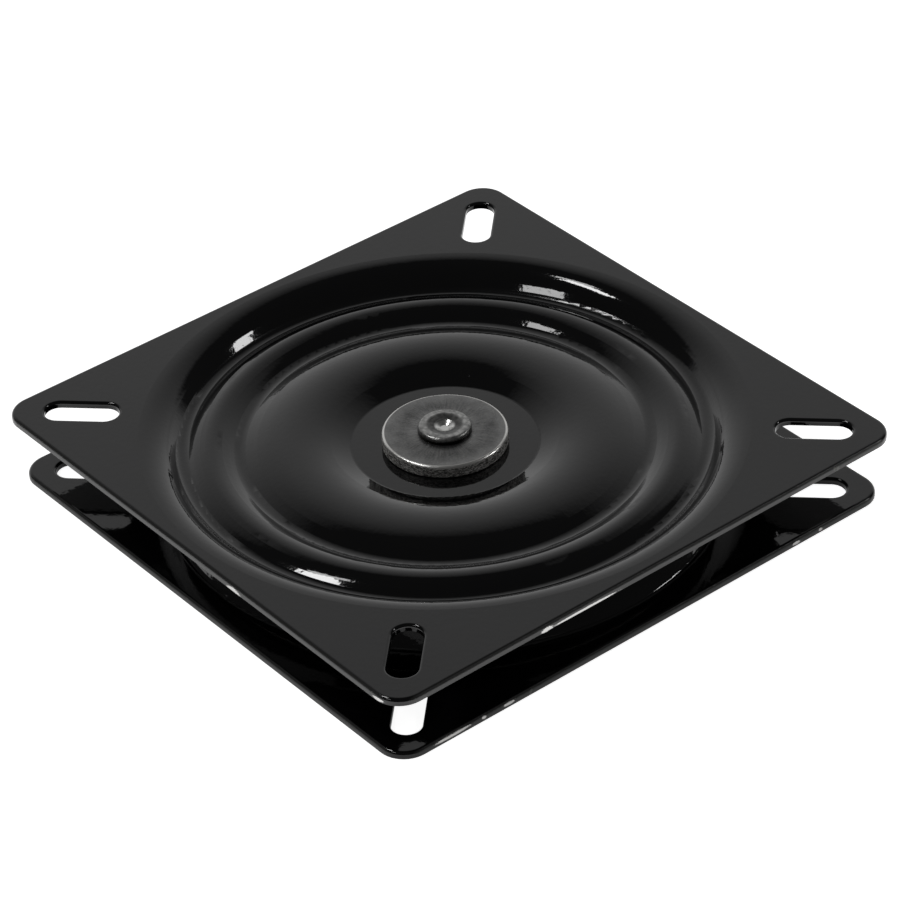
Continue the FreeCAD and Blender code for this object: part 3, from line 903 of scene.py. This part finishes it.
def burrs(name, body, places):
    """One mesh for the burrs of one plate: each place is a start, an end and a radius, in mm."""
    points, faces = [], []
    for start, end, thick in places:
        add_burr(points, faces, start, end, thick)
    mesh = bpy.data.meshes.new(name)
    mesh.from_pydata([point * MM for point in points], [], faces)
    mesh.polygons.foreach_set("use_smooth", [True] * len(mesh.polygons))
    mesh.materials.append(torn_steel)
    piece = bpy.data.objects.new(name, mesh)
    bpy.context.scene.collection.objects.link(piece)
    outward = bmesh.new()
    outward.from_mesh(mesh)
    bmesh.ops.recalc_face_normals(outward, faces=outward.faces)
    outward.to_mesh(mesh)
    outward.free()
    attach(piece, body)
    print(name, "with", len(places), "burrs,", len(faces), "faces")


burrs("seat_edge_burrs", "seat_side", (
    ((17.4, -88.2, 19.7), (23.6, -88.2, 19.8), 0.8),
    ((88.35, -40.6, 19.8), (88.35, -36.4, 19.8), 0.62),
    ((88.85, -69.1, 20.05), (88.85, -67.7, 20.05), 0.15),
    ((88.85, 39.8, 20.05), (88.85, 41.2, 20.05), 0.15),
    ((88.85, 70.2, 20.05), (88.85, 71.4, 20.05), 0.15),
))
burrs("base_edge_burrs", "base", (
    ((86.8, -74.2, 0.8), (86.8, -71.2, 0.9), 0.2),
    ((86.8, -68.6, 0.9), (86.8, -66.6, 0.8), 0.2),
    ((86.8, -59.6, 0.8), (86.8, -58.4, 0.8), 0.2),
    ((86.8, -51.2, 0.8), (86.8, -49.6, 0.8), 0.2),
    ((86.8, 51.2, 0.8), (86.8, 53.4, 0.8), 0.2),
))

# %% [markdown]
# ## The studio
# The photograph's studio can be read from the enamel. Behind the swivel stands a flat white
# backdrop, brightest near the table and darker higher up. It is described as a wall one unit
# away: a direction is divided by how far it points ahead, which gives a place on that wall.
# The ceiling, both sides and the room behind the camera are nearly dark. The camera itself
# sees plain white behind the swivel.

# %% The backdrop and the dark room
AWAY = math.atan2(-backward.y, -backward.x)
ROOM = 0.072
LEAST_AHEAD = 0.05
WALL_GLOW = 0.94
WALL_BRIGHT_AT, WALL_DARK_AT = 0.1, 2.1
WALL_MIDDLE = 0.2
WALL_EDGE, WALL_END = 1.2, 1.6
SIDE_GLOW, SIDE_AT = 0.7, 1.4

world = bpy.data.worlds.new("studio")
bpy.context.scene.world = world
world.use_nodes = True
sky = world.node_tree
sky.nodes.clear()
direction = add_node(sky, "ShaderNodeTexCoord")
facing = add_node(
    sky, "ShaderNodeMapping",
    values={"Rotation": (0, 0, -AWAY)}, links={"Vector": direction.outputs["Generated"]},
)
ahead = add_node(sky, "ShaderNodeSeparateXYZ", links={"Vector": facing.outputs["Vector"]})
depth = add_node(
    sky, "ShaderNodeMath", {"operation": "MAXIMUM"},
    values={1: LEAST_AHEAD}, links={0: ahead.outputs["X"]},
)
wall_rise, wall_side = [
    add_node(
        sky, "ShaderNodeMath", {"operation": "DIVIDE"},
        links={0: ahead.outputs[axis], 1: depth.outputs[0]},
    ).outputs[0]
    for axis in ("Z", "Y")
]
off_middle = add_node(
    sky, "ShaderNodeMath", {"operation": "SUBTRACT"}, values={1: WALL_MIDDLE}, links={0: wall_side},
)
sideways = add_node(
    sky, "ShaderNodeMath", {"operation": "ABSOLUTE"}, links={0: off_middle.outputs[0]},
).outputs[0]
print("backdrop faces", round(math.degrees(AWAY), 1), "degrees")

# %% The backdrop's glow
glow = add_node(
    sky, "ShaderNodeMapRange",
    values={
        "From Min": WALL_BRIGHT_AT, "From Max": WALL_DARK_AT, "To Min": WALL_GLOW, "To Max": 0.0,
    },
    links={"Value": wall_rise},
)
edge = add_node(
    sky, "ShaderNodeMapRange", {"interpolation_type": "SMOOTHSTEP"},
    values={"From Min": WALL_EDGE, "From Max": WALL_END, "To Min": 1.0, "To Max": 0.0},
    links={"Value": sideways},
)
paler = add_node(
    sky, "ShaderNodeMapRange",
    values={"From Max": SIDE_AT, "To Min": 1.0, "To Max": SIDE_GLOW}, links={"Value": sideways},
)
backdrop = glow.outputs["Result"]
for share in (edge, paler):
    backdrop = add_node(
        sky, "ShaderNodeMath", {"operation": "MULTIPLY"},
        links={0: backdrop, 1: share.outputs["Result"]},
    ).outputs[0]
room = add_node(
    sky, "ShaderNodeMath", {"operation": "ADD"}, values={1: ROOM}, links={0: backdrop},
)
studio_light = add_node(sky, "ShaderNodeBackground", links={"Strength": room.outputs[0]})
white = add_node(sky, "ShaderNodeBackground", values={"Color": linear("#ffffff"), "Strength": 1.0})
seen = add_node(sky, "ShaderNodeLightPath")
choice = add_node(
    sky, "ShaderNodeMixShader",
    links={
        "Fac": seen.outputs["Is Camera Ray"],
        1: studio_light.outputs["Background"],
        2: white.outputs["Background"],
    },
)
add_node(sky, "ShaderNodeOutputWorld", links={"Surface": choice.outputs["Shader"]})
print("backdrop glows", WALL_GLOW, "at its foot, the room", ROOM)

# %% [markdown]
# ## The lamps
# The enamel mirrors each lamp as a small bright mark, and the marks say where the lamps stand:
# a tall strip high on the left with a dimmer wing beside it, a leaning one farther round on the
# left, and one low on the right. They stand far off, so that a mark keeps its place on the ring
# whichever part of the plate mirrors it. Sizes are given as angles, as the swivel sees them, and
# a lamp's power is worked out from how bright its face looks.

# %% The lamps
LAMP_DISTANCE = 5.0
# name, turn to the left from straight away, height, width and tallness, all in degrees, then how
# bright the face is, and how far it leans, in degrees
LAMPS = (
    ("main_softbox", 81, 61.3, 5.6, 12.5, 20, 0),
    ("main_wing", 70, 66.5, 4.0, 8.5, 9, 0),
    ("side_softbox", 127.5, 48.4, 13.4, 3.2, 10, 18),
    ("right_softbox", -85, 36, 7.2, 7.9, 14, 0),
)


def softbox(name, turn_from_away, height, wide, tall, radiance, lean):
    """A rectangular lamp that faces the swivel."""
    data = bpy.data.lights.new(name, "AREA")
    data.shape = "RECTANGLE"
    data.size = 2 * LAMP_DISTANCE * math.tan(math.radians(wide / 2))
    data.size_y = 2 * LAMP_DISTANCE * math.tan(math.radians(tall / 2))
    data.energy = radiance * math.pi * data.size * data.size_y
    lamp = bpy.data.objects.new(name, data)
    heading = AWAY + math.radians(turn_from_away)
    lift = math.radians(height)
    towards_lamp = Vector((
        math.cos(heading) * math.cos(lift), math.sin(heading) * math.cos(lift), math.sin(lift),
    ))
    along = Vector((-math.sin(heading), math.cos(heading), 0))
    turned = Matrix.Rotation(math.radians(lean), 3, towards_lamp)
    across, upright = turned @ along, turned @ towards_lamp.cross(along)
    facing_swivel = Matrix((across, upright, towards_lamp)).transposed().to_4x4()
    lamp.matrix_world = Matrix.Translation(towards_lamp * LAMP_DISTANCE) @ facing_swivel
    bpy.context.scene.collection.objects.link(lamp)
    print(name, "watts", round(data.energy, 1))


for lamp in LAMPS:
    softbox(*lamp)

# %% [markdown]
# ## The table
# A white table carries the swivel. To the camera it is pure white where no shadow falls. It lies
# a tenth of a millimetre lower than the swivel's foot, because two faces in one plane flicker,
# and it can be looked through from below.

# %% The table's paper
TABLE_GLOW = 0.93
# glow that mirrors see outside and in the painted shadow under the swivel, and where that painted
# shadow begins and ends
MIRRORED_GLOW, MIRRORED_IN_PAINTED_SHADOW = 1.12, 0.05
PAINTED_SHADOW_INSIDE, PAINTED_SHADOW_REACH = 20 * MM, 32 * MM


def white_table(name, foot):
    """Paper-white top. What it sends to mirrors falls off close to the swivel and under it, as a
    painted shadow.
    """
    material, tree, output, coordinates = new_material(name)
    paper = add_node(tree, "ShaderNodeBsdfDiffuse", values={"Color": linear("#f0f0f0")})
    # painted shadow: the glow that mirrors see is lower close to the swivel and under it
    mirrored = add_node(
        tree, "ShaderNodeMapRange",
        values={
            "From Min": foot - PAINTED_SHADOW_INSIDE, "From Max": foot + PAINTED_SHADOW_REACH,
            "To Min": MIRRORED_IN_PAINTED_SHADOW, "To Max": MIRRORED_GLOW,
        },
        links={"Value": square_distance(tree, coordinates)},
    )
    seen_by = add_node(tree, "ShaderNodeLightPath")
    to_mirror = add_node(
        tree, "ShaderNodeMath", {"operation": "MULTIPLY"},
        links={0: seen_by.outputs["Is Glossy Ray"], 1: mirrored.outputs["Result"]},
    )
    strength = add_node(
        tree, "ShaderNodeMath", {"operation": "MULTIPLY_ADD"},
        values={1: TABLE_GLOW},
        links={0: seen_by.outputs["Is Camera Ray"], 2: to_mirror.outputs[0]},
    )
    glow = add_node(tree, "ShaderNodeEmission", links={"Strength": strength.outputs[0]})
    lit_paper = add_node(
        tree, "ShaderNodeAddShader",
        links={0: paper.outputs["BSDF"], 1: glow.outputs["Emission"]},
    )
    seen_from_below = add_node(tree, "ShaderNodeNewGeometry").outputs["Backfacing"]
    clear = add_node(tree, "ShaderNodeBsdfTransparent")
    one_sided = add_node(
        tree, "ShaderNodeMixShader",
        links={0: seen_from_below, 1: lit_paper.outputs["Shader"], 2: clear.outputs["BSDF"]},
    )
    tree.links.new(one_sided.outputs["Shader"], output.inputs["Surface"])
    return material


print("table mirrored at", MIRRORED_GLOW, "outside, and at", MIRRORED_IN_PAINTED_SHADOW, "under the plate")

# %% The table
TABLE_REACH = 3.0
TABLE_GAP = 0.1 * MM
corners = [
    (x * TABLE_REACH, y * TABLE_REACH, -TABLE_GAP)
    for x, y in ((-1, -1), (1, -1), (1, 1), (-1, 1))
]
table_mesh = bpy.data.meshes.new("table")
table_mesh.from_pydata(corners, [], [(0, 1, 2, 3)])
table_mesh.materials.append(white_table("white_table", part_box("bottom_plate")[1][0]))
table = bpy.data.objects.new("table", table_mesh)
bpy.context.scene.collection.objects.link(table)

bpy.context.scene.view_settings.view_transform = "Standard"
print("table reaches", TABLE_REACH, "m each way")
